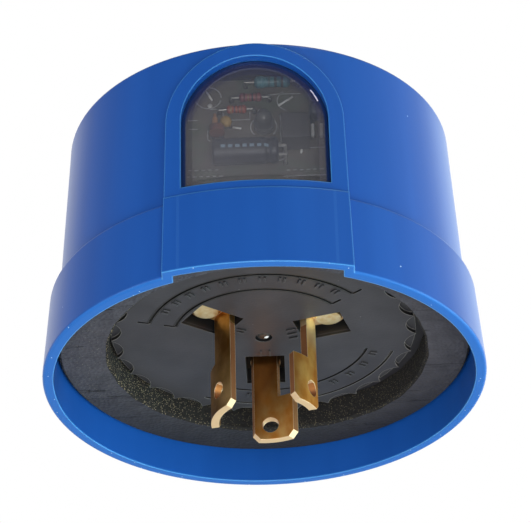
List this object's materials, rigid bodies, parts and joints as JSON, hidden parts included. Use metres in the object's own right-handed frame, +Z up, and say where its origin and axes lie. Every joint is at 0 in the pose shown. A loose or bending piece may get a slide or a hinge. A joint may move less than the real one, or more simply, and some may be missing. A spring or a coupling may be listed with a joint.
{
  "type": "photocell switch",
  "caption": "Plug-in photocell switch for outdoor lighting: drum-shaped cap with an arched sensor window, a foam gasket in its skirt and curved twist-lock blades.",
  "frame": {"origin": "on the plug's axis, on the base plate's lower face, which meets the socket", "axes": "+Z up out of the socket along the plug's axis, the window faces -Y, +X to the right of someone who faces the window"},
  "size_m": [0.082, 0.083, 0.0593],
  "materials": {
    "cap_blue": "satin blue moulding",
    "lens_smoke": "smoked clear plastic",
    "base_black": "satin black moulding",
    "gasket_foam": "open-cut black foam",
    "blade_brass": "rolled and punched",
    "rivet_brass": "bright",
    "screw_steel": "zinc plated",
    "terminal_brown": "pressed laminate",
    "board_green": "solder mask",
    "sensor_dark": "dark clear resin",
    "filter_black": "shrunk sleeve",
    "film_grey": "moulded box",
    "dropper_teal": "dipped lacquer",
    "bias_pink": "dipped lacquer",
    "gate_orange": "dipped lacquer",
    "bead_yellow": "dipped resin",
    "diode_tan": "glass tube",
    "disc_brown": "dipped resin",
    "arrester_dark": "dipped resin",
    "relay_white": "sealed case",
    "wire_tin": "tinned copper"
  },
  "bodies": {
    "root": {"cap": "cap_blue", "window_lens": "lens_smoke", "base_plate": "base_black", "gasket": "gasket_foam", "line_blade": "blade_brass", "load_blade": "blade_brass", "neutral_blade": "blade_brass", "blade_rivets": "rivet_brass", "centre_screw": "screw_steel", "terminal_board": "terminal_brown", "circuit_board": "board_green", "light_sensor": "sensor_dark", "filter_capacitor": "filter_black", "film_capacitor": "film_grey", "dropper_resistor": "dropper_teal", "bias_resistor": "bias_pink", "gate_resistor": "gate_orange", "bead_capacitor": "bead_yellow", "glass_diode": "diode_tan", "disc_capacitor": "disc_brown", "surge_arrester": "arrester_dark", "relay": "relay_white", "link_wires": "wire_tin"}
  },
  "joints": []
}
